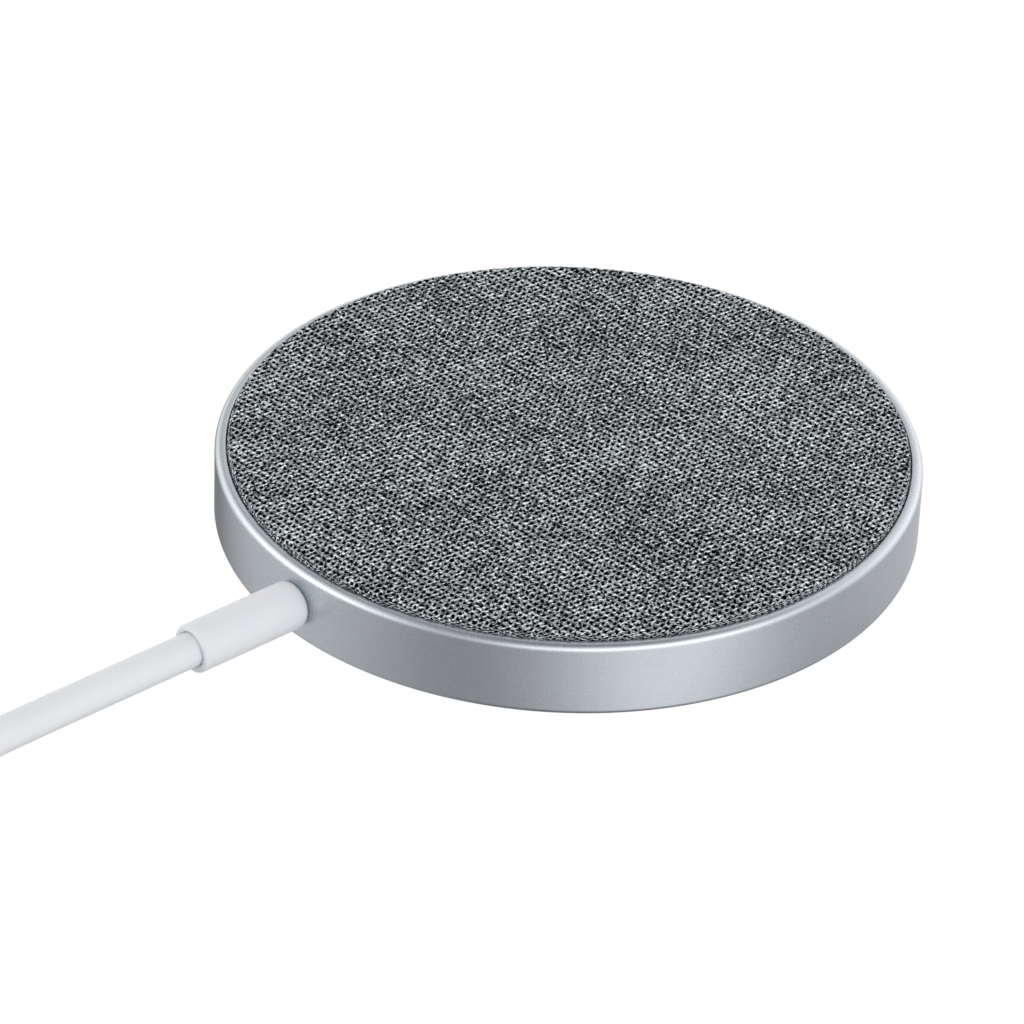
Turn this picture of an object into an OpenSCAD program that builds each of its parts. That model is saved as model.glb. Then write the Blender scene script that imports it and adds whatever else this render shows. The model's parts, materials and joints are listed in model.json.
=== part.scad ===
// Round wireless charging pad: a shallow metal cup with a fabric-covered charging face,
// a side cord in a sleeve, and a plug. Millimetres, +Z up, z = 0 where the foot rests.

/* [Body] */
// Outside diameter of the metal cup
body_d = 56; // [55:0.5:58]
// Height of the cup's rim above the surface it rests on
rim_h = 6.6; // [6.5:0.1:7.2]
// Rounding of the rim's outer edge
rim_round = 0.6; // [0.3:0.1:0.7]
// Rounding of the cup's lower edge
base_round = 0.55; // [0.3:0.05:0.7]
// Thickness of the cup's wall
wall_t = 1.6; // [1.5:0.1:1.9]
// Thickness of the rim beside the cover
lip_t = 0.9; // [0.8:0.1:1.1]
// Thickness of the cup's floor
floor_t = 0.8; // [0.7:0.1:0.9]
// Width of the ring-shaped foot
foot_w = 3.5; // [2:0.5:5]
// How far the foot stands below the cup
foot_proud = 0.3; // [0.2:0.05:0.4]

/* [Charging face] */
// Thickness of the cover plate under the fabric
plate_t = 1.1; // [0.9:0.1:1.2]
// Thickness of the fabric
fabric_t = 0.45; // [0.3:0.05:0.6]
// Rounding of the fabric's edge
fabric_round = 0.4; // [0.2:0.1:0.4]

/* [Charging parts] */
// Number of turns in the charging coil
coil_turns = 11; // [8:1:12]
// Outside diameter of the charging coil
coil_d = 43; // [40:0.5:43.5]
// Inside diameter of the charging coil
coil_hole_d = 20.5; // [19:0.5:22]
// Number of magnet places round the ring, with those beside the cord left out
magnet_places = 18; // [12:2:24]

/* [Cord] */
// Diameter of the cord
cord_d = 2.75; // [2.5:0.05:3]
// Diameter of the sleeve that the cord comes out of
sleeve_d = 3.9; // [3.7:0.1:4]
// Distance from the cup's axis to the sleeve's free end
sleeve_reach = 38.1; // [36:0.1:40]
// Middle radius of the put-away coil of cord
wind_r = 16.4; // [15:0.1:17]
// Turns in the lower layer of the put-away coil; the upper layer has one fewer
wind_turns = 5; // [4:1:5]

/* [Plug] */
// Width of the plug's grip
grip_w = 10.6; // [10:0.1:12]
// Thickness of the plug's grip
grip_t = 5.6; // [5:0.1:6]
// Length of the plug's grip
grip_l = 18; // [16:0.5:22]

/* [Hidden] */

round_fn = 96;
small_fn = 32;
cut = 1; // how far a cutting shape runs past what it cuts

// Heights of the stack, from the floor of the cup up
body_r = body_d / 2;
floor_z = foot_proud + floor_t;
film_t = 0.1;
part_room = 1;
board_z = floor_z + part_room;
board_t = 0.8;
board_top = board_z + board_t;
foil_t = 0.1;
ferrite_z = board_top + foil_t;
ferrite_t = 0.9;
winding_z = ferrite_z + ferrite_t;
winding_t = 1.1;
cover_drop = 1.15;
ledge_z = rim_h - cover_drop;
glue_t = 0.1;
plate_z = ledge_z + glue_t;
fabric_z = plate_z + plate_t;
face_z = fabric_z + fabric_t;

// Radii of the body
cavity_r = body_r - wall_t;
lip_r = body_r - lip_t;
board_seat_r = cavity_r - 1;
board_r = cavity_r - 0.3;
fabric_r = lip_r - 0.1;
plate_r = fabric_r - fabric_t;
foot_out_r = body_r - 2.5;
foot_in_r = foot_out_r - foot_w;
foot_t = foot_proud + 0.3;
foot_round = 0.15;

// Winding: a flat spiral over the ferrite, which starts and ends beside the cord
centre_hole_r = 5;
ferrite_r = 22;
turn_gap = 0.2;
turn_pitch = ((coil_d - coil_hole_d) / 2 + turn_gap) / (coil_turns + 1);
strand_w = turn_pitch - turn_gap;
steps_a_turn = 48;
winding_start_a = 165;
coil_lead_r = 0.25;

// Magnet ring
yoke_t = 0.4;
carrier_z = board_top + yoke_t;
carrier_in_r = 22.4;
carrier_out_r = cavity_r - 0.1;
magnet_in_r = 23;
magnet_out_r = carrier_out_r - 0.3;
magnet_t = 1.9;
magnet_pitch = 360 / magnet_places;
magnet_gap_a = 1.5;
pocket_gap_a = 0.9;
pocket_gap = 0.05;
cord_gap_a = 40; // the ring is open by this angle where the cord comes in

// Electronics: each list holds the places of a part's copies on the board's underside
chip_w = 6;
chip_t = 0.8;
chip_at = [6, 0];
pad_w = 8;
film_gap = 0.2;
transistor_size = [3.3, 3.3, 0.75];
transistor_at = [[-9, 6], [-9, -6], [-4, 11], [-4, -11]];
capacitor_size = [3.2, 1.6, 0.85];
capacitor_at = [for (row = [0 : 2], side = [-1, 1]) [2 + 4.4 * row, side * 15]];
inductor_size = [4, 4, 0.8];
inductor_at = [-14, 12];
input_cap_size = [2, 1.25, 0.85];
input_cap_at = [for (i = [0 : 3]) [-16, -7 - 2.2 * i]];
resistor_size = [1, 0.5, 0.35];
resistor_at = [for (i = [0 : 7]) [13, 1.6 * (i - 3.5)]];
notch_l = 6.5;
notch_w = 6;
bead_r = 0.8;
leg_r = 0.12;
leg_at = 0.4;

// Cord sleeve: it runs along -X at the height of the cord's axis
sleeve_r = sleeve_d / 2;
sleeve_z = 3.49;
sleeve_round = 0.35;
slip = 0.02; // between pieces that fit into each other
wall_hole_r = 1.75;
neck_in = 0.5; // how far the neck in the wall's hole runs on into the sleeve
flange_r = 1.95;
flange_reach = cavity_r - 1.2;
cord_seat_d = 0.3;
cord_seat_r = 1.55;
cord_end = 0.2 - flange_reach; // the cord's jacket ends just inside the cup

// The cord's wires: each point of their way is an x, a share of the spread into a row and a share
// of the drop to the board
wire_r = 0.31;
wire_at = [-0.38, 0.38];
wire_way = [
    [cord_end, 0, 0], [-24.8, 0, 0], [-24.3, 0.15, 0.04], [-23.6, 0.6, 0.16], [-22.9, 0.9, 0.42],
    [-22.1, 1, 0.75], [-21.4, 1, 0.95], [-20.6, 1, 1], [-17.8, 1, 1]
];

// Cord: the coil's two layers nest in each other
cord_r = cord_d / 2;
cord_sides = 8;
layer_rise = cord_d * sqrt(3) / 2;
wind_half_w = (wind_turns - 1) / 2 * cord_d;
wind_out_r = wind_r + wind_half_w + cord_r;
wind_in_r = wind_r - wind_half_w - cord_r;
wind_h = cord_d + layer_rise;
wind_x = -71;
wind_y = wind_r + wind_half_w;
tie_a = 60;
tie_w = 6;
tie_t = 0.6;
tie_gap = 0.1;
lift_margin = 1; // how much wider than the tie the raised stretch of the turns is, on each side

// The cord's way from the cup through the sleeve down to the coil, and from the coil to the plug
lead_route = [
    [cord_end, 0, sleeve_z], [-43, 0, 3.49], [-49, 0, 3.49], [-55, 0, 3.47],
    [-58, 0, 3.37], [-61, 0, 3.07], [-64, 0, 2.4], [-67, 0, 1.8], [-71, 0, 1.4]
];
tail_route = [
    [-71, 1.4, 4.1], [-76, 1.4, 4.1], [-80, 1.4, 3.85], [-84, 1.4, 3.1], [-88, 1.4, 2.1],
    [-92, 2.1, 1.5], [-95.5, 3.9, 1.4], [-98.5, 6.8, 1.4], [-100.6, 10.2, 1.6],
    [-101.5, 13, 2.3], [-101.6, 15.8, 2.8], [-101.6, 17.8, 2.8]
];

// Plug: lengths are counted from its sleeve's free end, along the plug
plug_at = [-101.6, 17.5, 2.8];
plug_sleeve_r = 1.95;
plug_sleeve_l = 8;
plug_sleeve_in = 1.5;
plug_room = [7.6, 2]; // the space for the plug's board
grip_round = 2.4;
tip_l = 6.65;
shell_w = 8.25;
shell_t = 2.4;
shell_wall = 0.25;
shell_in_l = 5.5;
slot_w = 6.7;
slot_t = 0.85;
slot_l = 5.7;
tip_set_back = 0.4;
contacts_a_side = 12;
contact_pitch = 0.5;
contact_size = [0.26, 0.12, 5];
latch_size = [0.2, 0.5, 5];
grip_z = plug_sleeve_l;
tip_z = grip_z + grip_l;
shell_z = tip_z - shell_in_l;
plug_board_size = [7.2, 0.8, 10];
plug_board_gap = 0.2;

metal = [0.74, 0.76, 0.78];
soft_white = [0.9, 0.91, 0.93];
cloth_grey = [0.36, 0.38, 0.39];
steel = [0.62, 0.63, 0.65];
copper = [0.75, 0.42, 0.24];
dark = [0.12, 0.12, 0.13];

// ---- Shapes used by several pieces ----

// What rounding a square corner takes off, with the corner's centre at the origin
module off_corner(r) {
    difference() {
        square(r + cut);
        circle(r, $fn = round_fn);
    }
}

module ring(r_in, r_out, z, h) {
    translate([0, 0, z]) difference() {
        cylinder(r = r_out, h = h, $fn = round_fn);
        translate([0, 0, -cut]) cylinder(r = r_in, h = h + 2 * cut, $fn = round_fn);
    }
}

// A rectangle with round corners, centred
module round_rect(w, t, r) {
    square([w - 2 * r, t], center = true);
    square([w, t - 2 * r], center = true);
    for (x = [-1, 1], y = [-1, 1])
        translate([x * (w / 2 - r), y * (t / 2 - r)]) circle(r, $fn = small_fn);
}

// A flat slot shape: its ends are half circles
module stadium(w, t) {
    square([w - t, t], center = true);
    for (x = [-1, 1])
        translate([x * (w - t) / 2, 0]) circle(t / 2, $fn = small_fn);
}

// Boxes that hang from the board's underside
module under_board(size, places) {
    for (p = places)
        translate([p[0] - size[0] / 2, p[1] - size[1] / 2, board_z - size[2]]) cube(size);
}

// The part of a ring that is open towards -X, for the cord
module cord_opening(z, h) {
    translate([0, 0, z]) linear_extrude(h)
        polygon([[0, 0], for (s = [1, -1]) 2 * body_r * [-cos(cord_gap_a / 2), s * sin(cord_gap_a / 2)]]);
}

// A wedge of a ring, centred on an angle
module arc_block(r_in, r_out, z, h, at, span) {
    rotate([0, 0, at - span / 2]) rotate_extrude(angle = span, $fn = round_fn)
        translate([r_in, z]) square([r_out - r_in, h]);
}

// The angles of the magnets, with the places beside the cord left out
function magnet_angles() = [
    for (i = [0 : magnet_places - 1])
        let (a = (i + 0.5) * magnet_pitch)
        if (abs(a - 180) > cord_gap_a / 2) a
];

// A tube through a list of points: rings of corners square to the way it runs
function heading(route, i) =
    let (d = route[min(i + 1, len(route) - 1)] - route[max(i - 1, 0)]) d / norm(d);
function sideways(d) = let (s = cross(d, [0, 0, 1])) s / norm(s);
function tube_ring(centre, d, r, sides) =
    let (s = sideways(d), u = cross(s, d))
    [for (k = [0 : sides - 1]) let (a = 360 * (k + 0.5) / sides) centre + r * (cos(a) * s + sin(a) * u)];
function tube_wall(i, k, sides) =
    let (next = (k + 1) % sides)
    [i * sides + k, i * sides + next, (i + 1) * sides + next, (i + 1) * sides + k];
module tube(route, r, sides = cord_sides) {
    last = len(route) - 1;
    corners = [for (i = [0 : last]) each tube_ring(route[i], heading(route, i), r, sides)];
    walls = [for (i = [0 : last - 1], k = [0 : sides - 1]) tube_wall(i, k, sides)];
    near_end = [for (k = [sides - 1 : -1 : 0]) k];
    far_end = [for (k = [0 : sides - 1]) last * sides + k];
    polyhedron(corners, concat([near_end], walls, [far_end]), convexity = 4);
}

// ---- Body ----

module cup_profile() {
    difference() {
        translate([0, foot_proud]) square([body_r, rim_h - foot_proud]);
        translate([body_r - rim_round, rim_h - rim_round]) off_corner(rim_round);
        translate([body_r - base_round, foot_proud + base_round]) mirror([0, 1]) off_corner(base_round);
        translate([0, floor_z]) square([board_seat_r, rim_h]);
        translate([0, board_z]) square([cavity_r, rim_h]);
        translate([0, ledge_z]) square([lip_r, rim_h]);
        translate([foot_in_r, foot_proud - cut]) square([foot_w, foot_t - foot_proud + cut]);
    }
}

module housing() {
    color(metal) difference() {
        rotate_extrude($fn = round_fn) cup_profile();
        translate([-body_r - cut, 0, sleeve_z]) rotate([0, 90, 0])
            cylinder(r = wall_hole_r, h = wall_t + 3 * cut, $fn = small_fn);
    }
}

module foot_ring() {
    color([0.7, 0.71, 0.72]) rotate_extrude($fn = round_fn) difference() {
        translate([foot_in_r, 0]) square([foot_w, foot_t]);
        translate([foot_out_r - foot_round, foot_round]) mirror([0, 1]) off_corner(foot_round);
        translate([foot_in_r + foot_round, foot_round]) rotate(180) off_corner(foot_round);
    }
}

// ---- Electronics ----

module insulating_film() {
    color([0.8, 0.5, 0.12]) difference() {
        translate([0, 0, floor_z]) cylinder(r = board_seat_r - film_gap, h = film_t, $fn = round_fn);
        translate([chip_at[0], chip_at[1], floor_z + film_t / 2])
            cube([pad_w + 2 * film_gap, pad_w + 2 * film_gap, film_t + 2 * cut], center = true);
    }
}

module thermal_pad() {
    pad_t = part_room - chip_t;
    color([0.55, 0.6, 0.68]) translate([chip_at[0], chip_at[1], floor_z + pad_t / 2])
        cube([pad_w, pad_w, pad_t], center = true);
}

module controller_board() {
    color([0.06, 0.3, 0.2]) difference() {
        translate([0, 0, board_z]) cylinder(r = board_r, h = board_t, $fn = round_fn);
        translate([-board_r - cut, -notch_w / 2, board_z - cut])
            cube([notch_l + cut, notch_w, board_t + 2 * cut]);
    }
}

module controller_chip() {
    color(dark) under_board([chip_w, chip_w, chip_t], [chip_at]);
}

module bridge_transistors() {
    color(dark) under_board(transistor_size, transistor_at);
}

module resonant_capacitors() {
    color([0.72, 0.6, 0.42]) under_board(capacitor_size, capacitor_at);
}

module filter_inductor() {
    color([0.3, 0.3, 0.32]) under_board(inductor_size, [inductor_at]);
}

module input_capacitors() {
    color([0.72, 0.6, 0.42]) under_board(input_cap_size, input_cap_at);
}

module sense_resistors() {
    color(dark) under_board(resistor_size, resistor_at);
}

// ---- Charging parts ----

module shield_foil() {
    color(copper) ring(centre_hole_r, ferrite_r - 0.2, board_top, foil_t);
}

module ferrite_plate() {
    color([0.2, 0.2, 0.21]) ring(centre_hole_r, ferrite_r, ferrite_z, ferrite_t);
}

function spiral_point(i, offset) =
    let (a = winding_start_a + 360 * i / steps_a_turn)
    (coil_hole_d / 2 + turn_pitch * i / steps_a_turn + offset) * [cos(a), sin(a)];

module charging_coil() {
    last = coil_turns * steps_a_turn;
    inner_edge = [for (i = [0 : last]) spiral_point(i, 0)];
    outer_edge = [for (i = [last : -1 : 0]) spiral_point(i, strand_w)];
    color(copper) translate([0, 0, winding_z]) linear_extrude(winding_t)
        polygon(concat(inner_edge, outer_edge));
}

// Two wires: from the winding's inner end through the ferrite's hole, and from its outer end
// past the ferrite's rim, each down to the board
module coil_leads() {
    wire_z = winding_z + winding_t / 2;
    drop = wire_z - board_top - coil_lead_r;
    // Each point is a distance from the axis and a share of the drop to the board
    inner_way = [[coil_hole_d / 2, 0], [4.8, 0], [3.9, 0.15], [3.5, 0.5], [3.4, 1]];
    outer_way = [[coil_d / 2, 0], [22.1, 0], [22.5, 0.15], [22.7, 0.5], [22.75, 1]];
    color(copper) rotate([0, 0, winding_start_a]) for (way = [inner_way, outer_way])
        tube([for (p = way) [p[0], 0, wire_z - p[1] * drop]], coil_lead_r);
}

module thermistor() {
    color([0.15, 0.25, 0.2]) translate([0, 0, winding_z + bead_r]) {
        sphere(bead_r, $fn = small_fn);
        for (x = [-leg_at, leg_at])
            translate([x, 0, board_top - winding_z - bead_r])
                cylinder(r = leg_r, h = winding_z - board_top + bead_r / 2, $fn = small_fn);
    }
}

module magnet_yoke() {
    color(steel) difference() {
        ring(carrier_in_r, carrier_out_r, board_top, yoke_t);
        cord_opening(board_top - cut, yoke_t + 2 * cut);
    }
}

module magnet_carrier() {
    carrier_t = ledge_z - carrier_z;
    color([0.85, 0.85, 0.86]) difference() {
        ring(carrier_in_r, carrier_out_r, carrier_z, carrier_t);
        cord_opening(carrier_z - cut, carrier_t + 2 * cut);
        for (a = magnet_angles())
            arc_block(magnet_in_r - pocket_gap, magnet_out_r + pocket_gap, carrier_z - cut,
                carrier_t + 2 * cut, a, magnet_pitch - 2 * pocket_gap_a);
    }
}

module alignment_magnets() {
    color([0.8, 0.8, 0.82]) for (a = magnet_angles())
        arc_block(magnet_in_r, magnet_out_r, carrier_z, magnet_t, a, magnet_pitch - 2 * magnet_gap_a);
}

// ---- Charging face ----

module cover_adhesive() {
    color([0.9, 0.9, 0.85]) ring(carrier_in_r, fabric_r, ledge_z, glue_t);
}

module cover_plate() {
    color([0.85, 0.85, 0.86]) translate([0, 0, plate_z]) cylinder(r = plate_r, h = plate_t, $fn = round_fn);
}

module fabric_cover() {
    color(cloth_grey) rotate_extrude($fn = round_fn) difference() {
        translate([0, plate_z]) square([fabric_r, face_z - plate_z]);
        translate([fabric_r - fabric_round, face_z - fabric_round]) off_corner(fabric_round);
        translate([0, plate_z - cut]) square([plate_r, plate_t + cut]);
    }
}

// ---- Cord sleeve ----

// Turns +Z to -X at the cord's height
module along_cord() {
    translate([0, 0, sleeve_z]) rotate([0, -90, 0]) children();
}

module sleeve_profile() {
    difference() {
        translate([0, cavity_r]) square([sleeve_r, sleeve_reach - cavity_r]);
        translate([sleeve_r - sleeve_round, sleeve_reach - sleeve_round]) off_corner(sleeve_round);
        translate([0, sleeve_reach - cord_seat_d]) square([cord_seat_r, cord_seat_d + cut]);
    }
}

// The sleeve and its neck and flange are moulded round the cord: the flange holds it in the wall
module strain_relief() {
    color(soft_white) difference() {
        union() {
            difference() {
                along_cord() rotate_extrude($fn = small_fn) sleeve_profile();
                cylinder(r = body_r, h = 2 * rim_h, $fn = round_fn);
            }
            along_cord() translate([0, 0, flange_reach])
                cylinder(r = wall_hole_r - slip, h = body_r + neck_in - flange_reach, $fn = small_fn);
            intersection() {
                along_cord() translate([0, 0, flange_reach])
                    cylinder(r = flange_r, h = wall_t, $fn = small_fn);
                translate([0, 0, board_z + slip])
                    cylinder(r = cavity_r - slip, h = rim_h, $fn = round_fn);
            }
        }
        along_cord() translate([0, 0, flange_reach - cut])
            cylinder(r = cord_r + slip, h = sleeve_reach, $fn = small_fn);
    }
}

// The cord's four wires leave its jacket two by two, spread into a row and go down through the
// board's notch to its underside
module power_leads() {
    pad_z = board_z - wire_r;
    color([0.75, 0.2, 0.15]) for (y = wire_at, z = wire_at) {
        row_y = 2.4 * y + 1.2 * z;
        tube([
            for (p = wire_way)
                [p[0], y + p[1] * (row_y - y), sleeve_z + z + p[2] * (pad_z - sleeve_z - z)]
        ], wire_r);
    }
}

// ---- Cord ----

module cord_lead() {
    color(soft_white) tube(lead_route, cord_r);
}

module cord_tail() {
    color(soft_white) tube(tail_route, cord_r);
}

// The outer shape of the wound cord: the upper layer is a turn narrower
module wind_profile() {
    shoulder_z = 1.5 * cord_r;
    heel = 1.2 * tie_t;
    polygon([
        [wind_in_r, heel], [wind_in_r + heel, 0], [wind_out_r - heel, 0], [wind_out_r, heel],
        [wind_out_r, shoulder_z],
        [wind_out_r - cord_r, wind_h], [wind_in_r + cord_r, wind_h], [wind_in_r, shoulder_z]
    ]);
}

module at_tie() {
    translate([wind_x, wind_y, 0]) rotate([0, 0, tie_a]) children();
}

module wind_ring(z) {
    translate([wind_x, wind_y, z]) rotate_extrude($fn = round_fn) wind_profile();
}

// The stretch where the turns rise over the tie's lower strand
module raised_stretch(w) {
    at_tie() translate([0, -w / 2, -cut]) cube([2 * wind_out_r, w, 2 * wind_h]);
}

module cord_coil() {
    raised_w = tie_w + 2 * lift_margin;
    color(soft_white) {
        difference() {
            wind_ring(0);
            raised_stretch(raised_w - 2 * slip);
        }
        intersection() {
            wind_ring(tie_t);
            raised_stretch(raised_w);
        }
    }
}

module cable_tie() {
    // The bundle curves inside the tie's width, so the loop starts a little inside it
    inner = sqrt(pow(wind_in_r, 2) - pow(tie_w / 2, 2)) - tie_gap;
    outer = wind_out_r + tie_gap;
    opening = wind_h + tie_gap;
    color([0.8, 0.81, 0.83]) at_tie() translate([(inner + outer) / 2, tie_w / 2, tie_t + opening / 2])
        rotate([90, 0, 0]) linear_extrude(tie_w) difference() {
            round_rect(outer - inner + 2 * tie_t, opening + 2 * tie_t, 2 * tie_t);
            round_rect(outer - inner, opening, tie_t);
        }
}

// ---- Plug ----

// Turns +Z to the plug's own direction, +Y, with the plug lying flat
module along_plug(z = 0) {
    translate(plug_at) rotate([-90, 0, 0]) translate([0, 0, z]) children();
}

module plug_sleeve() {
    color(soft_white) along_plug() difference() {
        cylinder(r = plug_sleeve_r, h = plug_sleeve_l + plug_sleeve_in, $fn = small_fn);
        translate([0, 0, -cut]) cylinder(r = cord_seat_r, h = cord_seat_d + cut, $fn = small_fn);
    }
}

module plug_housing() {
    inside_z = plug_sleeve_l + plug_sleeve_in;
    color([0.93, 0.94, 0.95]) along_plug() difference() {
        translate([0, 0, grip_z]) linear_extrude(grip_l) round_rect(grip_w, grip_t, grip_round);
        translate([0, 0, grip_z - cut])
            cylinder(r = plug_sleeve_r, h = plug_sleeve_in + cut, $fn = small_fn);
        translate([0, 0, inside_z]) linear_extrude(shell_z - inside_z) square(plug_room, center = true);
        translate([0, 0, shell_z]) linear_extrude(shell_in_l + cut) stadium(shell_w, shell_t);
    }
}

module plug_board() {
    color([0.06, 0.3, 0.2]) along_plug(plug_sleeve_l + plug_sleeve_in + plug_board_gap)
        linear_extrude(plug_board_size[2]) square([plug_board_size[0], plug_board_size[1]], center = true);
}

module plug_shell() {
    color(steel) along_plug(shell_z) linear_extrude(shell_in_l + tip_l) difference() {
        stadium(shell_w, shell_t);
        stadium(shell_w - 2 * shell_wall, shell_t - 2 * shell_wall);
    }
}

module plug_insulator() {
    length = shell_in_l + tip_l - tip_set_back;
    color(dark) along_plug(shell_z) difference() {
        linear_extrude(length) stadium(shell_w - 2 * shell_wall - slip, shell_t - 2 * shell_wall - slip);
        translate([0, 0, length - slot_l]) linear_extrude(slot_l + cut)
            square([slot_w, slot_t], center = true);
    }
}

module plug_contacts() {
    contacts_z = tip_z + tip_l - tip_set_back - slot_l;
    row_w = (contacts_a_side - 1) * contact_pitch;
    row_t = (slot_t - contact_size[1]) / 2;
    color([0.85, 0.68, 0.3]) along_plug(contacts_z)
        for (i = [0 : contacts_a_side - 1], s = [-1, 1])
            translate([i * contact_pitch - row_w / 2, s * row_t, contact_size[2] / 2])
                cube(contact_size, center = true);
}

module plug_latch() {
    latch_z = tip_z + tip_l - tip_set_back - slot_l;
    color(steel) along_plug(latch_z) for (s = [-1, 1])
        translate([s * (slot_w - latch_size[0]) / 2, 0, latch_size[2] / 2]) cube(latch_size, center = true);
}

housing();
foot_ring();
insulating_film();
thermal_pad();
controller_board();
controller_chip();
bridge_transistors();
resonant_capacitors();
filter_inductor();
input_capacitors();
sense_resistors();
shield_foil();
ferrite_plate();
charging_coil();
coil_leads();
thermistor();
magnet_yoke();
magnet_carrier();
alignment_magnets();
cover_adhesive();
cover_plate();
fabric_cover();
strain_relief();
power_leads();
cord_lead();
cord_coil();
cord_tail();
cable_tie();
plug_sleeve();
plug_housing();
plug_board();
plug_shell();
plug_insulator();
plug_contacts();
plug_latch();
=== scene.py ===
import json
import math
import random

import bpy
import numpy as np
from mathutils import Matrix, Vector


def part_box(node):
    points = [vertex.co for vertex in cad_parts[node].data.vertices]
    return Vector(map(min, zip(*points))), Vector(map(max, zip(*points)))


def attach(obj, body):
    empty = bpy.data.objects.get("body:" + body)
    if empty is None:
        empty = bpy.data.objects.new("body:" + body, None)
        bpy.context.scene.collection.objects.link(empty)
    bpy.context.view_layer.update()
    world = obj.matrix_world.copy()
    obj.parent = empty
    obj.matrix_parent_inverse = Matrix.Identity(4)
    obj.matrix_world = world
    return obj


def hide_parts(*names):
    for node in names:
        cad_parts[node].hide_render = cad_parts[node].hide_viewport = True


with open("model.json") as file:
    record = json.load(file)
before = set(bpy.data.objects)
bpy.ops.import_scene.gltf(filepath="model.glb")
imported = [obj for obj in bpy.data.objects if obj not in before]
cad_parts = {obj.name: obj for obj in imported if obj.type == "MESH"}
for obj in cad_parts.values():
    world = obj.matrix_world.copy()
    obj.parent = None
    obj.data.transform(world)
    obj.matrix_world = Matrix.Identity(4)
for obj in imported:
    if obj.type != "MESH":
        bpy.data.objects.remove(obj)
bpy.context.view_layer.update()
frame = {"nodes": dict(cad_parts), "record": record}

# Lengths in this script are millimetres in the model's own frame, and MM turns them into metres.
MM = 0.001


# ---- Camera ----

VIEW_AZIMUTH = -43.05
VIEW_ELEVATION = 33.293
VIEW_DISTANCE = 466.83
VIEW_TARGET_Z = 0.3
VIEW_PAN, VIEW_TILT, VIEW_ROLL = -0.5293, 0.0186, -2.609
LENS = 206.13
SENSOR_W = 36
NEAREST, FARTHEST = 0.01, 50


def make_camera():
    a, e = math.radians(VIEW_AZIMUTH), math.radians(VIEW_ELEVATION)
    back = Vector((math.sin(a) * math.cos(e), -math.cos(a) * math.cos(e), math.sin(e)))
    right = Vector((0, 0, 1)).cross(back).normalized()
    up = back.cross(right)
    turn = (
        Matrix.Rotation(math.radians(VIEW_ROLL), 3, "Z")
        @ Matrix.Rotation(math.radians(VIEW_TILT), 3, "X")
        @ Matrix.Rotation(math.radians(VIEW_PAN), 3, "Y")
    )
    axes = turn @ Matrix((right, up, back))
    camera = bpy.data.objects.new("Camera", bpy.data.cameras.new("Camera"))
    camera.data.sensor_width = SENSOR_W
    camera.data.lens = LENS
    camera.data.clip_start = NEAREST
    camera.data.clip_end = FARTHEST
    place = back * VIEW_DISTANCE + Vector((0, 0, VIEW_TARGET_Z))
    camera.matrix_world = Matrix.Translation(place * MM) @ axes.transposed().to_4x4()
    bpy.context.scene.collection.objects.link(camera)
    bpy.context.scene.camera = camera


# ---- The cord's line ----

CORD_D = 2.75
CORD_R = CORD_D / 2
CORD_STEP = 0.9

LEAD_ROUTE = [
    (-25.0, 0, 3.49), (-43, 0, 3.49), (-49, 0, 3.49), (-55, 0, 3.47), (-58, 0, 3.37),
    (-61, 0, 3.07), (-64, 0, 2.4), (-67, 0, 1.8), (-71, 0, 1.4),
]
TAIL_ROUTE = [
    (-71, 1.4, 4.1), (-76, 1.4, 4.1), (-80, 1.4, 3.85), (-84, 1.4, 3.1), (-88, 1.4, 2.1),
    (-92, 2.1, 1.5), (-95.5, 3.9, 1.4), (-98.5, 6.8, 1.4), (-100.6, 10.2, 1.6),
    (-101.5, 13, 2.3), (-101.6, 15.8, 2.8), (-101.6, 17.8, 2.8),
]

# The put-away coil: two layers of turns, the upper one resting in the grooves of the lower one. Each
# turn moves over to the next place in the last SHIFT_SPAN degrees of its round.
WIND_CENTRE = (-71, 21.9)
WIND_OUTER_R = 21.9
LOWER_TURNS = 5
UPPER_TURNS = 4
SHIFT_FROM = 285
SHIFT_SPAN = 75
RISE_RAMP = 15
CLIMB_FROM, CLIMB_TO = 180, 60
NEST_RISE = math.sqrt(3) / 2
POINTS_A_TURN = 60

# The turns rise by the strap's thickness where the tie runs under them: fully within TIE_HOLD degrees
# of the tie, and not at all past TIE_FADE degrees
TIE_ANGLE = 60
TIE_LIFT = 0.6
TIE_HOLD = 18
TIE_FADE = 45


def smoothstep(x):
    x = min(1, max(0, x))
    return x * x * (3 - 2 * x)


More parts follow.
